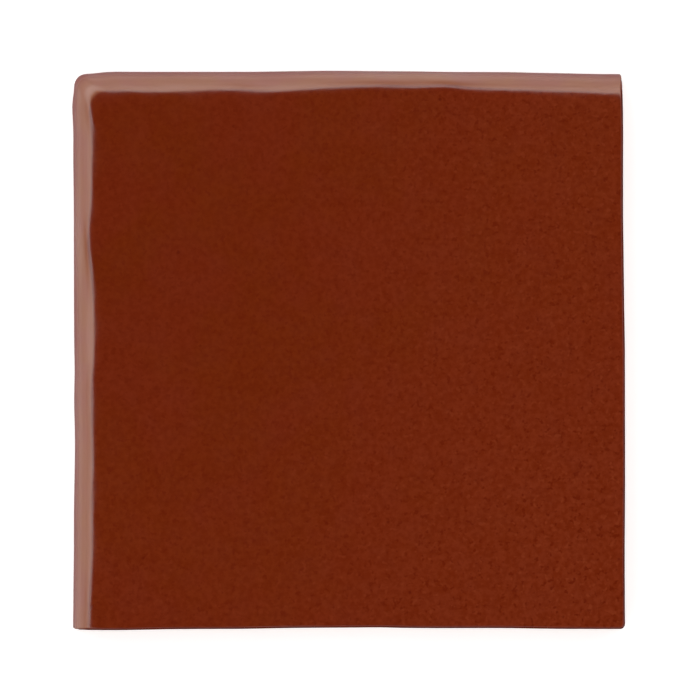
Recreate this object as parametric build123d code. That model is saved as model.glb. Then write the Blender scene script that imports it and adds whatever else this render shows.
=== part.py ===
from build123d import *

import os
from math import cos, radians, sin

# A hand-pressed ceramic wall tile with two neighbouring edges rolled over (a double bullnose, or
# bullnose corner, tile). It is one fired piece of clay. Millimetres, lying face up: X to the right
# and Y up the face, Z out of the face, the origin under the middle of the tile on its bed plane.

# Overall size, between the furthest places of opposite edges
FACE_WIDTH = 150.7
FACE_HEIGHT = 152.4
THICKNESS = 9.5

# Rolled edges: the top one, at +Y, and the left one, at -X
ROLL_DROP = 7.2  # how far the roll comes down from the face
ROLLED_CORNER_RADIUS = 3.4  # between the two rolled edges, at the outline
ROLLED_CORNER_FACE_RADIUS = 5.8  # the same corner, where the roll runs out into the flat face

# Plain edges: the right one, at +X, and the bottom one, at -Y
PLAIN_CORNER_RADIUS = 1.4  # between the two plain edges
ARRIS_RADIUS = 0.8  # between a plain edge and the face, and down the ends of the rolls
FOOT_BEVEL = 0.5  # round the back

# Key grooves in the back, which run up the tile and stop short of its edges
GROOVE_DEPTH = 1.0
GROOVE_WIDTH = 8.0  # at the mouth
GROOVE_PITCH = 14.0
GROOVE_DRAFT = 30.0  # degrees that a groove's walls lean
GROOVE_MARGIN = 12.0  # least distance from a groove to the edge of the back

# A hand-pressed edge wanders. The edges run clockwise round the face. A station is the share of
# the way along its edge, how far in the edge lies there from the overall size, and on a rolled
# edge how far in from there the roll reaches, in mm.
TOP_EDGE = [
    (0.00, 0.84, 7.6), (0.03, 0.42, 8.2), (0.07, 0.28, 8.6), (0.12, 0.30, 8.9), (0.19, 0.30, 8.3),
    (0.25, 0.30, 7.8), (0.32, 0.26, 8.6), (0.40, 0.07, 7.8), (0.455, 0.00, 7.1), (0.545, 0.13, 6.2),
    (0.605, 0.17, 6.4), (0.655, 0.30, 5.7), (0.69, 0.34, 6.6), (0.78, 0.38, 7.7), (0.83, 0.56, 7.8),
    (0.89, 0.72, 8.0), (0.94, 0.88, 8.2), (1.00, 0.90, 8.8),
]
RIGHT_EDGE = [
    (0.00, 0.86), (0.05, 0.68), (0.26, 0.56), (0.35, 0.37), (0.42, 0.26), (0.49, 0.08),
    (0.60, 0.04), (0.75, 0.00), (0.86, 0.11), (1.00, 0.04),
]
BOTTOM_EDGE = [
    (0.00, 0.27), (0.14, 0.35), (0.21, 0.52), (0.40, 0.59), (0.44, 0.72), (0.50, 0.65),
    (0.63, 0.50), (0.68, 0.33), (0.82, 0.22), (0.87, 0.05), (0.96, 0.00), (1.00, 0.08),
]
LEFT_EDGE = [
    (0.00, 0.27, 6.9), (0.09, 0.38, 7.2), (0.15, 0.49, 8.0), (0.23, 0.52, 7.8), (0.30, 0.72, 7.8),
    (0.375, 0.74, 7.6), (0.425, 0.55, 7.7), (0.475, 0.70, 7.4), (0.525, 0.58, 8.6), (0.565, 0.54, 9.0),
    (0.64, 0.51, 8.4), (0.70, 0.50, 7.0), (0.75, 0.49, 6.1), (0.81, 0.42, 7.5), (0.87, 0.33, 8.0),
    (0.94, 0.19, 8.5), (0.967, 0.03, 8.3), (1.00, 0.56, 6.8),
]

# The tile is what two slabs have in common. One has the plain edges, the other the rolled ones.
ROLL_STEPS = [0, 22, 44, 60, 70, 80, 90]  # where the roll's outlines lie, in degrees round it
SPARE = 6.0  # how far each slab runs on past the edges that the other one shapes
WANDER_SPARE = 1.0  # the part of that over which an edge still wanders
NOTHING = 0.001  # a height, or a slope of a wall's normal, that counts as none

LEFT, RIGHT = -FACE_WIDTH / 2, FACE_WIDTH / 2
BOTTOM, TOP = -FACE_HEIGHT / 2, FACE_HEIGHT / 2


def wandering(start, end, inward, stations):
    """An edge's line from start to end, moved inward by what its stations say."""
    start, end, inward = Vector(start), Vector(end), Vector(inward)
    along = (end - start).normalized()
    shares = [share for share, inset in stations]
    points = [start + (end - start) * share + inward * inset for share, inset in stations]
    return Edge.make_spline(points, tangents=[along, along], parameters=shares)


def closed(lines, far_corner):
    """The face inside a row of lines, closed along two sides that meet at a far corner."""
    start, end, far = lines[0] @ 0, lines[-1] @ 1, Vector(far_corner)
    turns = [end, (far.X, end.Y), far, (start.X, far.Y), start]
    return make_face(Wire(lines + Polyline(*turns).edges()))


def plain_slab():
    """The slab with the two plain edges and the corner between them."""
    corner = Vector(RIGHT - RIGHT_EDGE[-1][1], BOTTOM + BOTTOM_EDGE[0][1])
    right = wandering((RIGHT, TOP + WANDER_SPARE), (RIGHT, corner.Y), (-1, 0), RIGHT_EDGE)
    bottom = wandering((corner.X, BOTTOM), (LEFT - WANDER_SPARE, BOTTOM), (0, 1), BOTTOM_EDGE)
    slab = extrude(closed([right, bottom], (LEFT - SPARE, TOP + SPARE)), THICKNESS)
    return fillet(slab.edges().filter_by(Axis.Z).sort_by_distance(corner)[0], PLAIN_CORNER_RADIUS)


def rolled_outline(degrees):
    """The outline of the slab with the rolled edges, at some degrees round the roll."""
    reached = 1 - cos(radians(degrees))
    top = [(share, inset + reach * reached) for share, inset, reach in TOP_EDGE]
    left = [(share, inset + reach * reached) for share, inset, reach in LEFT_EDGE]
    radius = ROLLED_CORNER_RADIUS + (ROLLED_CORNER_FACE_RADIUS - ROLLED_CORNER_RADIUS) * reached
    corner = Vector(LEFT + left[-1][1], TOP - top[0][1])
    left_line = wandering((LEFT, BOTTOM - WANDER_SPARE), (LEFT, corner.Y - radius), (1, 0), left)
    top_line = wandering((corner.X + radius, TOP), (RIGHT + WANDER_SPARE, TOP), (0, -1), top)
    round_corner = TangentArc(left_line @ 1, top_line @ 0, tangent=left_line % 1).edge()
    outline = closed([left_line, round_corner, top_line], (RIGHT + SPARE, BOTTOM - SPARE))
    return Pos(0, 0, THICKNESS - ROLL_DROP * (1 - sin(radians(degrees)))) * outline


def rolled_slab():
    """The slab with the two rolled edges and the corner between them."""
    upright = extrude(rolled_outline(0), ROLL_DROP - THICKNESS)
    return upright + loft([rolled_outline(degrees) for degrees in ROLL_STEPS])


def eased(tile):
    """The tile with its arris and its foot. The arris follows the plain walls' outer boundary."""
    upright = tile.faces().filter_by(lambda face: abs(face.normal_at().Z) < NOTHING)
    plain_walls = [face for face in upright if face.bounding_box().max.Z > THICKNESS - ARRIS_RADIUS]
    boundary = [edge for wall in plain_walls for edge in wall.edges()]
    arris = [edge for edge in boundary if boundary.count(edge) == 1 and (edge @ 0.5).Z > NOTHING]
    tile = fillet(arris, ARRIS_RADIUS)
    return chamfer(tile.faces().sort_by(Axis.Z)[0].edges(), FOOT_BEVEL)


def key_grooves():
    """The grooves of the back, as the solids that the press leaves out."""
    length = FACE_HEIGHT - 2 * GROOVE_MARGIN
    room = FACE_WIDTH - 2 * GROOVE_MARGIN - GROOVE_WIDTH
    count = int(room / GROOVE_PITCH) + 1
    mouths = Sketch() + [
        place * SlotOverall(length, GROOVE_WIDTH, rotation=90)
        for place in GridLocations(GROOVE_PITCH, 0, count, 1)
    ]
    return extrude(mouths, GROOVE_DEPTH, taper=GROOVE_DRAFT)


bullnose_tile = eased(plain_slab() & rolled_slab()) - key_grooves()
bullnose_tile.label = "bullnose_tile"

os.makedirs("parts", exist_ok=True)
export_step(bullnose_tile, "parts/bullnose_tile.step")
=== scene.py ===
import math

import bmesh
import bpy
import numpy as np
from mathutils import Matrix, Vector, noise
from mathutils.bvhtree import BVHTree


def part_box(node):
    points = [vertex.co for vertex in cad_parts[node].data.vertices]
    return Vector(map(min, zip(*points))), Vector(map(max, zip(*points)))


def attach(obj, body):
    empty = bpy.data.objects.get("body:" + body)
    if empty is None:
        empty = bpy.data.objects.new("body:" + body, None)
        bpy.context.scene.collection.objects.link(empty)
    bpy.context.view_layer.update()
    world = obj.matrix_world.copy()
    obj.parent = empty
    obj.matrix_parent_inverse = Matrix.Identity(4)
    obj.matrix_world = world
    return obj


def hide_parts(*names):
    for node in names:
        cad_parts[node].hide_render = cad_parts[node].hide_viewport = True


# A hand-pressed, glazed wall tile that lies face up, seen from straight above. Its top edge (+Y)
# and left edge (-X) are rolled over, and the right and the bottom one are plain. Metres.

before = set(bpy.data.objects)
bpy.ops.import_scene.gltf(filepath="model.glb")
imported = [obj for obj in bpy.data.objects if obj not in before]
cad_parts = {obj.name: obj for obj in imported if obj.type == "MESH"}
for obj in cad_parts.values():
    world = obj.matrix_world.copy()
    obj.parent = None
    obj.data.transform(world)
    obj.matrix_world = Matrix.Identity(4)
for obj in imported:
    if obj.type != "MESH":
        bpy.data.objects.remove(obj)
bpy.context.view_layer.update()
cad_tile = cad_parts["bullnose_tile"]

MM = 0.001
LOW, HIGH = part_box("bullnose_tile")
FACE_HEIGHT = HIGH.z

# Where the photograph's middle lies on the tile, and how much of it one pixel shows
PHOTO_PIXELS = 700
PIXEL = 0.27239 * MM
PHOTO_MIDDLE = Vector((0.42 * MM, 0.07 * MM, FACE_HEIGHT - 6 * MM))
CAMERA_LENS = 1000  # mm: as good as no perspective
CAMERA_SENSOR = 36  # mm

# The tile's mesh: a grid on the flat of the face, and rings from there over the edges to the foot
GRID = 216  # cells along each side
RINGS = 48
FLAT_INSET = 11 * MM  # from the tile's box to the grid, which leaves out the rolled edges
WALL_HEIGHT = 2.3 * MM  # up to here the edges stand upright
OUTLINE_HEIGHT = 1.5 * MM  # where the outline is read: above the foot's bevel and the grooves
OUTLINE_RAYS = 4800
SIDE_POINTS = 4000  # fine places along a side, from which the grid's lines are chosen
CORNER_CROWD = 2.2  # how much closer the lines lie at a corner
CORNER_SIZE = 3 * MM
FAN_RAYS = 200  # from the flat face down to the upright wall
WALL_RAYS = 24  # from there to the foot
FINE_STEP = 0.1 * MM
PROFILE_BLUR = 2.5  # fine steps
EDGE_BLUR = 1.6  # ring points
BLUR_FULL = 8  # rings out from the grid, where that blur is full
TURN_WEIGHT = 4 * MM  # how far one radian of turn counts, when the rings are shared out
NOTHING = 0.01 * MM
GROOVES_APART = 3 * MM  # less than lies between two grooves, and more than inside one
GROOVE_END_POINTS = 19
SHARP_ANGLE = math.radians(32)  # edges that turn by more stay sharp

# How a groove's wall goes, as shares of its floor's inset and of its depth: its edges are soft
GROOVE_WALL = [(-0.25, 0.0), (0.0, 0.03), (0.2, 0.17), (0.5, 0.55), (0.85, 0.9), (1.15, 0.99), (1.5, 1.0)]

# Relief, as depths below the pressed surface
UNDULATION = 0.22 * MM
UNDULATION_PERIOD = 31 * MM
DIMPLES = 0.05 * MM
DIMPLE_PERIOD = 11 * MM
PEEL = 0.009 * MM
PEEL_PERIOD = 2.4 * MM
GLAZE_THICKNESS = 0.16 * MM
GLAZE_END = 0.2 * MM  # half the height over which the glaze ends
GLAZE_BEAD = 0.03 * MM  # how far the glaze stands out just above its lower end
BEAD_PLACE = 0.6 * MM
BEAD_WIDTH = 0.5 * MM
EDGE_WOBBLE = 0.03 * MM
EDGE_PERIOD = 6 * MM
GRAIN = 0.04 * MM
GRAIN_PERIOD = 1.4 * MM
PITS = 40
PIT_DEPTH = 0.02 * MM
PIT_RADIUS = 0.55 * MM
PIT_SIZES = (0.6, 1.3)  # shares of that depth and radius
SEED = 11

# The glaze's looks, by depth below the face: where each one starts, and where it is full. The band and
# the shoulder hold a painted highlight, the arris painted shade.
HIGHLIGHT_BAND_DEPTHS = (0.43 * MM, 0.72 * MM)
SHOULDER_DEPTHS = (0.6 * MM, 1.6 * MM)
FOOT_DEPTHS = (2.2 * MM, 6.0 * MM)
ARRIS_DEPTHS = (2.2 * MM, 0.9 * MM)

# The glaze's lower end: its least height above the back on a rolled edge, its least depth below the
# face on a plain one, and how much it wanders from there
ROLLED_LINE = 0.75 * MM
ROLLED_LINE_WANDER = 0.45 * MM
PLAIN_LINE = 1.4 * MM
PLAIN_LINE_WANDER = 2.6 * MM
LINE_PERIOD = 11 * MM
LINE_FINE_PERIOD = 3.5 * MM


def smooth_step(value, start, end):
    """0 at start, 1 at end, and an even curve between them."""
    share = np.clip((value - start) / (end - start), 0, 1)
    return share * share * (3 - 2 * share)


def bell(width):
    """The weights of a blur, width being its standard deviation in steps."""
    reach = int(3 * width) + 1
    weights = np.exp(-0.5 * (np.arange(-reach, reach + 1) / width) ** 2)
    return weights / weights.sum()


def spaced(length):
    """Places of the grid's lines along a side, closer together at its ends, where the corners turn."""
    fine = np.linspace(0, length, SIDE_POINTS)
    ends = np.exp(-((fine / CORNER_SIZE) ** 2)) + np.exp(-(((length - fine) / CORNER_SIZE) ** 2))
    total = np.cumsum(1 + CORNER_CROWD * ends)
    return np.interp(np.linspace(total[0], total[-1], GRID + 1), total, fine)


def outline(tree):
    """The tile's outline as points all the way round, clockwise from the top left."""
    start = Vector((0, 0, OUTLINE_HEIGHT))
    turns = 0.75 * np.pi - np.linspace(0, 2 * np.pi, OUTLINE_RAYS, endpoint=False)
    return np.array([tree.ray_cast(start, Vector((np.cos(a), np.sin(a), 0)))[0][:2] for a in turns])


def sides(points):
    """For each ring point, its place on the outline: four sides, each from corner to corner."""
    diagonals = np.array([(-1, 1), (1, 1), (1, -1), (-1, -1)])
    corners = [int(np.argmax(points @ diagonal)) for diagonal in diagonals]
    found = []
    for first, last in zip(corners, corners[1:] + corners[:1]):
        count = (last - first) % len(points)
        side = points[(first + np.arange(count + 1)) % len(points)]
        along = np.concatenate([[0], np.cumsum(np.linalg.norm(np.diff(side, axis=0), axis=1))])
        places = spaced(along[-1])[:-1]
        found.append(np.column_stack([np.interp(places, along, side[:, axis]) for axis in (0, 1)]))
    return np.concatenate(found)


def profile(tree, inner, outer):
    """The surface from above inner, over the edge at outer and down to the foot, as RINGS + 1
    points that lie closer together where it turns."""
    outward = (outer - inner) / np.linalg.norm(outer - inner)
    centre = Vector((*inner, WALL_HEIGHT))
    hits = []
    for lift in np.linspace(0.5 * np.pi, 0, FAN_RAYS):
        direction = Vector((*(outward * np.cos(lift)), np.sin(lift)))
        hits.append(tree.ray_cast(centre, direction)[0])
    for height in np.linspace(WALL_HEIGHT, NOTHING, WALL_RAYS)[1:]:
        hits.append(tree.ray_cast(Vector((*inner, height)), Vector((*outward, 0)))[0])
    line = np.array(hits)
    line[-1, 2] = 0

    along = np.concatenate([[0], np.cumsum(np.linalg.norm(np.diff(line, axis=0), axis=1))])
    even = np.linspace(0, along[-1], int(along[-1] / FINE_STEP))
    line = np.column_stack([np.interp(even, along, line[:, axis]) for axis in range(3)])
    weights = bell(PROFILE_BLUR)
    spare = len(weights) // 2
    padded = np.pad(line, ((spare, spare), (0, 0)), mode="reflect", reflect_type="odd")
    line = np.column_stack([np.convolve(padded[:, axis], weights, "valid") for axis in range(3)])

    steps = np.diff(line, axis=0)
    lengths = np.linalg.norm(steps, axis=1)
    ways = steps / lengths[:, None]
    turns = np.arccos(np.clip((ways[1:] * ways[:-1]).sum(1), -1, 1))
    measure = np.concatenate([[0], np.cumsum(lengths + TURN_WEIGHT * np.append(turns, 0))])
    shares = np.linspace(0, measure[-1], RINGS + 1)
    return np.column_stack([np.interp(shares, measure, line[:, axis]) for axis in range(3)])


def plain_corner_distance(points):
    """How far each outline point is from the nearest corner that has a plain edge."""
    diagonals = np.array([(1, 1), (1, -1), (-1, -1)])
    corners = [points[np.argmax(points @ diagonal)] for diagonal in diagonals]
    return np.min([np.linalg.norm(points - corner, axis=1) for corner in corners], axis=0)


def glazed_surface():
    """Grid lines of the flat face, and the rings round it: (xs, ys, rings), rings[point, ring]."""
    mesh = cad_tile.data
    tree = BVHTree.FromPolygons([v.co for v in mesh.vertices], [p.vertices for p in mesh.polygons])
    left, right = LOW.x + FLAT_INSET, HIGH.x - FLAT_INSET
    bottom, top = LOW.y + FLAT_INSET, HIGH.y - FLAT_INSET
    xs = left + spaced(right - left)
    ys = bottom + spaced(top - bottom)
    inner = [(x, top) for x in xs[:-1]]
    inner += [(right, y) for y in ys[:0:-1]]
    inner += [(x, bottom) for x in xs[:0:-1]]
    inner += [(left, y) for y in ys[:-1]]
    inner = np.array(inner)
    outer = sides(outline(tree))
    rings = np.array([profile(tree, *ends) for ends in zip(inner, outer)])

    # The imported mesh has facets. A blur along the edge takes them off, away from sharp corners.
    weights = bell(EDGE_BLUR)
    spare = len(weights) // 2
    blurred = sum(
        weight * np.roll(rings, step, axis=0)
        for weight, step in zip(weights, range(-spare, spare + 1))
    )
    away = 1 - np.exp(-((plain_corner_distance(outer) / CORNER_SIZE) ** 2))
    from_grid = np.clip(np.arange(RINGS + 1) / BLUR_FULL, 0, 1)
    share = (away[:, None] * from_grid)[:, :, None]
    return xs, ys, rings * (1 - share) + blurred * share


def slot_loop(left, right, low, high, inset, height):
    """A groove's outline, drawn in by inset, as points at a height: straight sides, round ends."""
    middle, radius = (left + right) / 2, (right - left) / 2
    turns = np.linspace(0, np.pi, GROOVE_END_POINTS)
    across, along = (radius - inset) * np.cos(turns), (radius - inset) * np.sin(turns)
    upper = np.column_stack([middle + across, high - radius + along])
    lower = np.column_stack([middle - across, low + radius - along])
    points = np.concatenate([upper, lower])
    return np.column_stack([points, np.full(len(points), height)])


def groove_places():
    """Each key groove of the back as (left, right, low, high, inset of its floor, depth)."""
    points = np.array([v.co for v in cad_tile.data.vertices])
    within = (np.abs(points[:, 0]) < HIGH.x - FLAT_INSET) & (np.abs(points[:, 1]) < HIGH.y - FLAT_INSET)
    points = points[within & (points[:, 2] < WALL_HEIGHT)]
    depth = points[:, 2].max()
    mouths = points[points[:, 2] < NOTHING]
    floors = points[points[:, 2] > depth - NOTHING]
    inset = mouths[:, 1].max() - floors[:, 1].max()
    mouths = mouths[np.argsort(mouths[:, 0])]
    gaps = np.flatnonzero(np.diff(mouths[:, 0]) > GROOVES_APART) + 1
    found = []
    for mouth in np.split(mouths, gaps):
        (left, low), (right, high) = mouth[:, :2].min(0), mouth[:, :2].max(0)
        found.append((left, right, low, high, inset, depth))
    return found


def tile_mesh():
    """The whole tile as one closed mesh, with the attributes that its finish reads."""
    xs, ys, rings = glazed_surface()
    points = [(x, y, FACE_HEIGHT) for y in ys[::-1] for x in xs]
    row = GRID + 1
    border = list(range(GRID))
    border += [line * row + GRID for line in range(GRID)]
    border += [GRID * row + column for column in range(GRID, 0, -1)]
    border += [line * row for line in range(GRID, 0, -1)]
    faces = [
        (corner, corner + row, corner + row + 1, corner + 1)
        for line in range(GRID)
        for corner in range(line * row, line * row + GRID)
    ]
    around = 4 * GRID
    inside = border
    for ring in range(1, RINGS + 1):
        outside = list(range(len(points), len(points) + around))
        points += [tuple(point) for point in rings[:, ring]]
        faces += [
            (inside[i], inside[(i + 1) % around], outside[(i + 1) % around], outside[i])
            for i in range(around)
        ]
        inside = outside
    points = np.array(points)
    mesh = bpy.data.meshes.new("tile")
    mesh.from_pydata(points, [], faces)
    mesh.update()
    normals = np.zeros(len(points) * 3)
    mesh.vertices.foreach_get("normal", normals)
    normals = normals.reshape(-1, 3)
    if normals[len(points) // 4, 2] < 0:
        mesh.flip_normals()
        normals = -normals

    above_line, shares = finish_shares(points, normals)
    depth = relief(points, normals, above_line)
    on_back = points[:, 2] < NOTHING
    depth[on_back] = 0
    moved = points - normals * depth[:, None]
    mesh.vertices.foreach_set("co", moved.ravel())
    for name, values in {"above_glaze_line": above_line / MM, **shares}.items():
        attribute = mesh.attributes.new(name, "FLOAT", "POINT")
        attribute.data.foreach_set("value", values.astype(np.float32))
    close_back(mesh, inside)
    mesh.shade_smooth()
    mesh.set_sharp_from_angle(angle=SHARP_ANGLE)
    return mesh


def waves(points, period, seed=0):
    """Even noise from 0 to 1 at each point."""
    shift = Vector((seed, 0.37 * seed, -0.61 * seed))
    return np.array([0.5 + 0.5 * noise.noise(Vector(p) / period + shift) for p in points])


def finish_shares(points, normals):
    """For each point, how far it lies above the glaze's lower end, and the shares to which it lies on a
    rolled edge's painted highlight (its band and its shoulder), its foot, and on a plain edge's arris,
    which takes painted shade."""
    faces_plain = np.maximum(normals[:, 0], -normals[:, 1])
    plain = smooth_step(faces_plain, 0.2, 0.6)
    below = FACE_HEIGHT - points[:, 2]
    shares = {
        # The band and the shoulder carry the rolled edges' painted highlight.
        "rolled_highlight_band": smooth_step(below, *HIGHLIGHT_BAND_DEPTHS) * (1 - plain),
        "rolled_shoulder": smooth_step(below, *SHOULDER_DEPTHS) * (1 - plain),
        "rolled_foot": smooth_step(below, *FOOT_DEPTHS) * (1 - plain),
        # The arris carries painted shade.
        "plain_arris": smooth_step(faces_plain, 0.25, 0.8) * smooth_step(below, *ARRIS_DEPTHS),
    }

    # Glaze runs down a rolled edge nearly to the foot, and a few millimetres down a plain one
    ground = points * np.array([1, 1, 0])
    uneven = waves(ground, LINE_PERIOD, 3) + 0.5 * waves(ground, LINE_FINE_PERIOD, 5)
    rolled_line = ROLLED_LINE + ROLLED_LINE_WANDER * uneven
    plain_line = FACE_HEIGHT - PLAIN_LINE - PLAIN_LINE_WANDER * uneven
    side = smooth_step(faces_plain, 0.5, 0.75)
    line = rolled_line * (1 - side) + plain_line * side
    return points[:, 2] - line, shares


def relief(points, normals, above_line):
    """How far each point lies below the pressed surface. The sides keep their size."""
    up = np.clip(normals[:, 2], 0, 1)
    cover = smooth_step(above_line, -GLAZE_END, GLAZE_END)
    bead = np.exp(-(((above_line - BEAD_PLACE) / BEAD_WIDTH) ** 2))
    depth = up * UNDULATION * waves(points, UNDULATION_PERIOD, 1)
    depth += up * DIMPLES * waves(points, DIMPLE_PERIOD, 7)
    depth += PEEL * waves(points, PEEL_PERIOD, 2) * cover
    depth += (1 - up) * EDGE_WOBBLE * waves(points * np.array([1, 1, 0]), EDGE_PERIOD, 6)
    depth += GLAZE_BEAD * cover * (1 - bead)
    depth += (GLAZE_THICKNESS + GRAIN * waves(points, GRAIN_PERIOD, 4)) * (1 - cover)
    random = np.random.default_rng(SEED)
    centres = random.uniform((LOW.x, LOW.y), (HIGH.x, HIGH.y), (PITS, 2))
    sizes = random.uniform(*PIT_SIZES, PITS)
    face = points[:, 2] > FACE_HEIGHT - WALL_HEIGHT
    for centre, size in zip(centres, sizes):
        distance = np.linalg.norm(points[:, :2] - centre, axis=1)
        depth += face * size * PIT_DEPTH * np.exp(-((distance / (size * PIT_RADIUS)) ** 2))
    return depth


def close_back(mesh, foot):
    """Closes the mesh with its flat back, from the foot's points, and the grooves in it."""
    shape = bmesh.new()
    shape.from_mesh(mesh)
    shape.verts.ensure_lookup_table()
    ring = [shape.verts[index] for index in foot]
    rims = [shape.edges.get((a, b)) for a, b in zip(ring, ring[1:] + ring[:1])]
    for left, right, low, high, inset, depth in groove_places():
        loops = []
        for across, up in GROOVE_WALL:
            loop = slot_loop(left, right, low, high, across * inset, up * depth)
            loops.append([shape.verts.new(point) for point in loop])
        for outside, inside in zip(loops, loops[1:]):
            for i in range(len(inside)):
                j = (i + 1) % len(inside)
                shape.faces.new((outside[i], outside[j], inside[j], inside[i]))
        shape.faces.new(loops[-1])
        mouth = loops[0]
        rims += [shape.edges.get((a, b)) for a, b in zip(mouth, mouth[1:] + mouth[:1])]
    bmesh.ops.triangle_fill(shape, edges=rims, use_beauty=True, normal=(0, 0, -1))
    bmesh.ops.recalc_face_normals(shape, faces=shape.faces)
    shape.to_mesh(mesh)
    shape.free()


def linear(red, green, blue):
    """A screen colour, 0 to 255, as the light that it stands for."""
    shares = [value / 255 for value in (red, green, blue)]
    return (*(s / 12.92 if s <= 0.04045 else ((s + 0.055) / 1.055) ** 2.4 for s in shares), 1)


# The face's glaze, and what it turns to at the lower right, in spots and in flecks
GLAZE_BROWN = linear(107.2, 34.8, 5)
GLAZE_RED = linear(109.2, 33.8, 9)
GLAZE_LOWER_RIGHT = linear(114.5, 38, 13)
MOTTLE_DARK = (0.90, 0.78, 0.55, 1)  # these two multiply the glaze's colour
MOTTLE_LIGHT = (1.10, 1.22, 1.45, 1)
SPOT_DARK = linear(101, 27, 4)
SPOT_LIGHT = linear(123, 46, 20)
FLECK = linear(86, 16, 1)

# The glaze over the rolled edges, from the face down, on the arris and where it ends. The band colours
# are mostly a painted reflection of the light, partly the glaze breaking lighter.
PAINTED_BAND_START = linear(140, 76, 45)
PAINTED_BAND_WARM = linear(160, 110, 90)
PAINTED_BAND_COOL = linear(159, 107, 94)
GLAZE_FOOT = linear(124, 30, 5)
# Painted shade: the plain edges' arris, darkened for the line of shade along them.
PAINTED_ARRIS_SHADE = linear(90, 24, 5)
GLAZE_THIN = linear(70, 27, 14)

# The fired clay, its grog, and the stain just below the glaze
CLAY_DARK = linear(172, 104, 74)
CLAY_LIGHT = linear(190, 124, 92)
CLAY_STAIN = linear(128, 66, 44)
GROG_PALE = linear(206, 160, 130)
GROG_DARK = linear(104, 58, 44)


class Nodes:
    """A material's or the world's nodes, with the few kinds that this scene needs."""

    def __init__(self, tree):
        self.tree = tree
        tree.nodes.clear()

    def add(self, kind, inputs=None, **settings):
        node = self.tree.nodes.new(kind)
        for name, value in settings.items():
            setattr(node, name, value)
        for name, value in (inputs or {}).items():
            if isinstance(value, bpy.types.NodeSocket):
                self.tree.links.new(value, node.inputs[name])
            else:
                node.inputs[name].default_value = value
        return node

    def math(self, operation, *values):
        node = self.add("ShaderNodeMath", dict(enumerate(values)), operation=operation)
        return node.outputs[0]

    def steps(self, value, start, end, low=0.0, high=1.0):
        """low where value is at start, high at end, and an even curve between them."""
        inputs = {"Value": value, "From Min": start, "From Max": end, "To Min": low, "To Max": high}
        return self.add("ShaderNodeMapRange", inputs, interpolation_type="SMOOTHSTEP").outputs[0]

    def mix(self, factor, first, second, blend="MIX"):
        inputs = {0: factor, 6: first, 7: second}
        node = self.add("ShaderNodeMix", inputs, data_type="RGBA", blend_type=blend)
        return node.outputs[2]

    def blend(self, factor, first, second):
        return self.add("ShaderNodeMix", {0: factor, 2: first, 3: second}).outputs[0]

    def noise(self, where, period, detail=2.0, shift=0.0):
        if shift:
            moved = {0: where, 1: (shift, -0.6 * shift, 0.3 * shift)}
            where = self.add("ShaderNodeVectorMath", moved, operation="ADD").outputs[0]
        inputs = {"Vector": where, "Scale": 1 / period, "Detail": detail}
        return self.add("ShaderNodeTexNoise", inputs).outputs[0]

    def attribute(self, name):
        return self.add("ShaderNodeAttribute", attribute_name=name).outputs["Fac"]


def tile_material():
    """Glaze over fired clay: one surface, with the mesh's attributes saying which of them shows."""
    material = bpy.data.materials.new("glazed_terracotta")
    material.use_nodes = True
    nodes = Nodes(material.node_tree)
    where = nodes.add("ShaderNodeTexCoord").outputs["Object"]
    ragged = nodes.math("MULTIPLY", nodes.math("SUBTRACT", nodes.noise(where, 0.8 * MM), 0.5), 0.35)
    above_line = nodes.math("ADD", nodes.attribute("above_glaze_line"), ragged)
    cover = nodes.steps(above_line, -0.06, 0.06)
    arris = nodes.attribute("plain_arris")

    glaze = glaze_colour(nodes, where, arris)
    thin = nodes.steps(above_line, 0.9, 0.05)
    glaze = nodes.mix(nodes.math("MULTIPLY", thin, 0.75), glaze, GLAZE_THIN)
    stain = nodes.steps(above_line, -1.6, -0.05, 0.0, 0.55)
    clay = nodes.mix(stain, clay_colour(nodes, where), CLAY_STAIN)
    colour = nodes.mix(cover, clay, glaze)

    sheen = nodes.steps(nodes.noise(where, 7 * MM, 3.0), 0.3, 0.7, 0.15, 0.22)
    sheen = nodes.blend(nodes.attribute("rolled_foot"), sheen, 0.4)
    sheen = nodes.blend(arris, sheen, 0.75)
    roughness = nodes.blend(cover, 0.88, sheen)
    gloss = nodes.blend(arris, 0.5, 0.1)
    peel = nodes.noise(where, 1.6 * MM, 1.0)
    grain = nodes.noise(where, 0.55 * MM, 4.0)
    height = nodes.blend(cover, nodes.math("MULTIPLY", grain, 0.12), nodes.math("MULTIPLY", peel, 0.005))
    bump = nodes.add("ShaderNodeBump", {"Height": height, "Distance": MM, "Strength": 1.0})
    finish = {"Base Color": colour, "Roughness": roughness, "Specular IOR Level": gloss}
    shader = nodes.add("ShaderNodeBsdfPrincipled", {**finish, "Normal": bump.outputs[0], "IOR": 1.5})
    nodes.add("ShaderNodeOutputMaterial", {"Surface": shader.outputs[0]})
    return material


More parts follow.
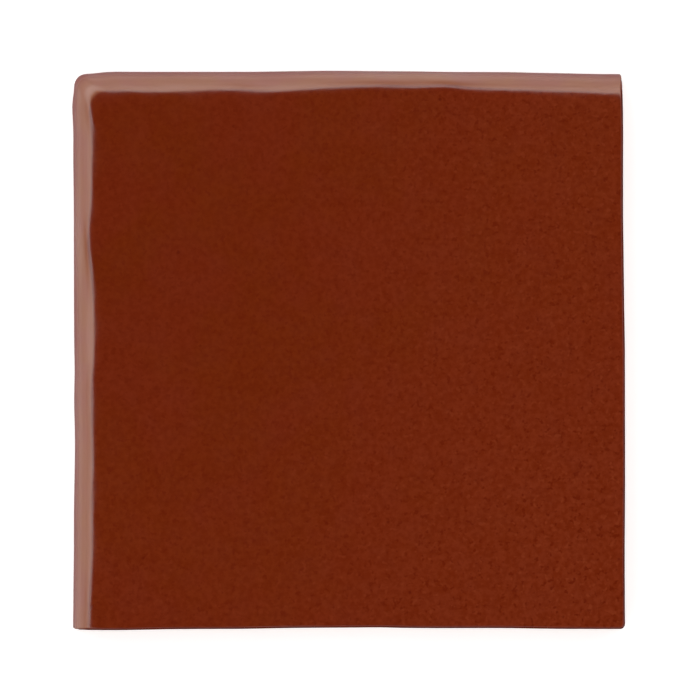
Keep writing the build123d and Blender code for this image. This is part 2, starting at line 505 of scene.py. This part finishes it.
def glaze_colour(nodes, where, arris):
    """Red-brown glaze with soft patches, fine mottling and flecks. Over the rolled edges it turns pale
    and pink, mostly a painted reflection of the light and partly the glaze breaking lighter; it is redder
    low down on them, and darker on the plain arris, which is painted shade."""
    patches = nodes.steps(nodes.noise(where, 24 * MM, 3.0), 0.38, 0.62)
    field = nodes.mix(patches, GLAZE_BROWN, GLAZE_RED)
    place = nodes.add("ShaderNodeSeparateXYZ", {0: where})
    right = nodes.steps(place.outputs[0], -45 * MM, 75 * MM)
    low = nodes.steps(place.outputs[1], 30 * MM, -75 * MM)
    drift = nodes.math("ADD", nodes.math("MULTIPLY", right, 0.7), nodes.math("MULTIPLY", low, 0.3))
    field = nodes.mix(drift, field, GLAZE_LOWER_RIGHT)

    amount = nodes.math("ADD", 0.6, nodes.math("MULTIPLY", drift, 0.4))
    mottling = nodes.steps(nodes.noise(where, 1.4 * MM, 3.0), 0.28, 0.72)
    shade = nodes.mix(mottling, MOTTLE_DARK, MOTTLE_LIGHT)
    field = nodes.mix(amount, field, shade, "MULTIPLY")
    dark = nodes.steps(nodes.noise(where, 1.3 * MM, 1.0, 0.3), 0.57, 0.74)
    field = nodes.mix(nodes.math("MULTIPLY", amount, dark), field, SPOT_DARK)
    light = nodes.steps(nodes.noise(where, 1.5 * MM, 1.0, 0.7), 0.60, 0.75)
    field = nodes.mix(nodes.math("MULTIPLY", drift, light), field, SPOT_LIGHT)
    rare = nodes.math("MULTIPLY", flecks(nodes, where, 8 * MM, 0.7 * MM, 0.4), 0.6)
    field = nodes.mix(rare, field, FLECK)

    hue = nodes.steps(nodes.noise(where, 13 * MM, 2.0), 0.38, 0.62)
    # Painted highlight: the pale band over the rolled edges, mostly their reflection of the light.
    glaze = nodes.mix(nodes.attribute("rolled_highlight_band"), field, PAINTED_BAND_START)
    highlight_and_break = nodes.mix(hue, PAINTED_BAND_WARM, PAINTED_BAND_COOL)
    glaze = nodes.mix(nodes.attribute("rolled_shoulder"), glaze, highlight_and_break)
    glaze = nodes.mix(nodes.attribute("rolled_foot"), glaze, GLAZE_FOOT)
    # Painted shade on the plain arris, stronger in some places than others.
    uneven_shade = nodes.steps(nodes.noise(where, 14 * MM, 2.0), 0.35, 0.6, 0.6, 1.0)
    return nodes.mix(nodes.math("MULTIPLY", arris, uneven_shade), glaze, PAINTED_ARRIS_SHADE)


def flecks(nodes, where, spacing, size, density):
    """Small uneven spots: how far a place lies on one. Density is the share of cells that have one."""
    warp = nodes.add("ShaderNodeTexNoise", {"Vector": where, "Scale": 1 / (1.5 * size)}).outputs[1]
    moved = {0: warp, 1: (size, size, size), 2: where}
    around = nodes.add("ShaderNodeVectorMath", moved, operation="MULTIPLY_ADD").outputs[0]
    cells = nodes.add("ShaderNodeTexVoronoi", {"Vector": around, "Scale": 1 / spacing, "Randomness": 1.0})
    chance = nodes.add("ShaderNodeSeparateColor", {0: cells.outputs["Color"]}).outputs[0]
    there = nodes.math("LESS_THAN", chance, density)
    spot = nodes.steps(cells.outputs["Distance"], size / spacing, 0.2 * size / spacing)
    return nodes.math("MULTIPLY", there, spot)


def clay_colour(nodes, where):
    """Fired red clay, with pale and dark grog in it."""
    cloud = nodes.steps(nodes.noise(where, 18 * MM, 4.0), 0.3, 0.7)
    clay = nodes.mix(cloud, CLAY_DARK, CLAY_LIGHT)
    clay = nodes.mix(flecks(nodes, where, 1.7 * MM, 0.35 * MM, 0.4), clay, GROG_PALE)
    return nodes.mix(flecks(nodes, where, 2.3 * MM, 0.3 * MM, 0.3), clay, GROG_DARK)


def build_tile():
    """The dressed tile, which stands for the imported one."""
    tile = bpy.data.objects.new("glazed_bullnose_tile", tile_mesh())
    bpy.context.scene.collection.objects.link(tile)
    tile.data.materials.append(tile_material())
    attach(tile, "root")
    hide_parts("bullnose_tile")


# The studio: soft light from all round, brighter on the side of the rolled edges, weaker towards
# the horizon, and dark right overhead, where the flat face would mirror it to the camera
CEILING = 0.03
BELOW = 0.9  # under the floor, where only the tile's back sees it
SOFT_BRIGHT = 3.54
SOFT_DIM = 2.18
HORIZON = 0.12  # what is left of the light there
LIGHT_SIDES = (-0.3, 0.6)  # from dim to bright, by how far a way points to the rolled corner
LIGHT_HEIGHTS = (0.35, 0.8)  # from dim to full, as the sine of the height above the horizon
CEILING_HEIGHTS = (0.772, 0.832)  # from full to dark, likewise
FLOOR_SIZE = 60
FLOOR_LAP = 5 * MM  # how far the floor reaches in under the tile
FLOOR_GAP = 0.02 * MM
FLOOR_COLOUR = (0.86, 0.86, 0.86, 1)
CAMERA_GLOW = 0.5  # what the floor shows the camera besides its shading
GLOSS_GLOW = 0.14  # and what it shows in gloss and glass


def build_world():
    world = bpy.data.worlds.new("studio")
    bpy.context.scene.world = world
    world.use_nodes = True
    nodes = Nodes(world.node_tree)
    direction = nodes.add("ShaderNodeTexCoord").outputs["Generated"]
    way = nodes.add("ShaderNodeSeparateXYZ", {0: direction})
    flat = nodes.add("ShaderNodeCombineXYZ", {0: way.outputs[0], 1: way.outputs[1]})
    level = nodes.add("ShaderNodeVectorMath", {0: flat.outputs[0]}, operation="NORMALIZE").outputs[0]
    corner = Vector((-1, 1, 0)).normalized()
    facing = nodes.add("ShaderNodeVectorMath", {0: level, 1: corner}, operation="DOT_PRODUCT")
    soft = nodes.steps(facing.outputs["Value"], *LIGHT_SIDES, SOFT_DIM, SOFT_BRIGHT)
    height = way.outputs[2]
    soft = nodes.math("MULTIPLY", soft, nodes.steps(height, *LIGHT_HEIGHTS, HORIZON, 1.0))
    ceiling = nodes.steps(height, *CEILING_HEIGHTS)
    strength = nodes.blend(ceiling, soft, CEILING)
    strength = nodes.blend(nodes.math("LESS_THAN", height, 0.0), strength, BELOW)
    background = nodes.add("ShaderNodeBackground", {"Color": (1, 1, 1, 1), "Strength": strength})
    nodes.add("ShaderNodeOutputWorld", {"Surface": background.outputs[0]})


def build_floor():
    """A plain pale floor. Seen by the camera or in gloss and glass it is white, with the shadow kept.
    It is open where the tile covers it, so that the tile's back can be looked at too."""
    mesh = bpy.data.meshes.new("floor")
    half = FLOOR_SIZE / 2
    around = [(-half, -half), (half, -half), (half, half), (-half, half)]
    left, right = LOW.x + FLOOR_LAP, HIGH.x - FLOOR_LAP
    bottom, top = LOW.y + FLOOR_LAP, HIGH.y - FLOOR_LAP
    opening = [(left, bottom), (right, bottom), (right, top), (left, top)]
    corners = [(x, y, -FLOOR_GAP) for x, y in around + opening]
    mesh.from_pydata(corners, [], [(i, (i + 1) % 4, (i + 1) % 4 + 4, i + 4) for i in range(4)])
    floor = bpy.data.objects.new("floor", mesh)
    bpy.context.scene.collection.objects.link(floor)
    material = bpy.data.materials.new("pale_floor")
    material.use_nodes = True
    nodes = Nodes(material.node_tree)
    path = nodes.add("ShaderNodeLightPath").outputs
    reflected = nodes.math("MAXIMUM", path["Is Glossy Ray"], path["Is Transmission Ray"])
    seen = nodes.math("MULTIPLY", path["Is Camera Ray"], CAMERA_GLOW)
    seen = nodes.math("ADD", seen, nodes.math("MULTIPLY", reflected, GLOSS_GLOW))
    diffuse = nodes.add("ShaderNodeBsdfDiffuse", {"Color": FLOOR_COLOUR})
    glow = nodes.add("ShaderNodeEmission", {"Strength": seen})
    both = nodes.add("ShaderNodeAddShader", {0: diffuse.outputs[0], 1: glow.outputs[0]})
    nodes.add("ShaderNodeOutputMaterial", {"Surface": both.outputs[0]})
    mesh.materials.append(material)


def build_camera():
    """Straight above the face, so far up that the photograph's lack of perspective is kept."""
    data = bpy.data.cameras.new("camera")
    data.lens = CAMERA_LENS
    data.sensor_width = CAMERA_SENSOR
    camera = bpy.data.objects.new("camera", data)
    bpy.context.scene.collection.objects.link(camera)
    distance = PHOTO_PIXELS * PIXEL * CAMERA_LENS / CAMERA_SENSOR
    camera.location = PHOTO_MIDDLE + Vector((0, 0, distance))
    data.clip_end = 2 * distance
    bpy.context.scene.camera = camera


build_tile()
build_world()
build_floor()
build_camera()
bpy.context.scene.view_settings.view_transform = "Standard"
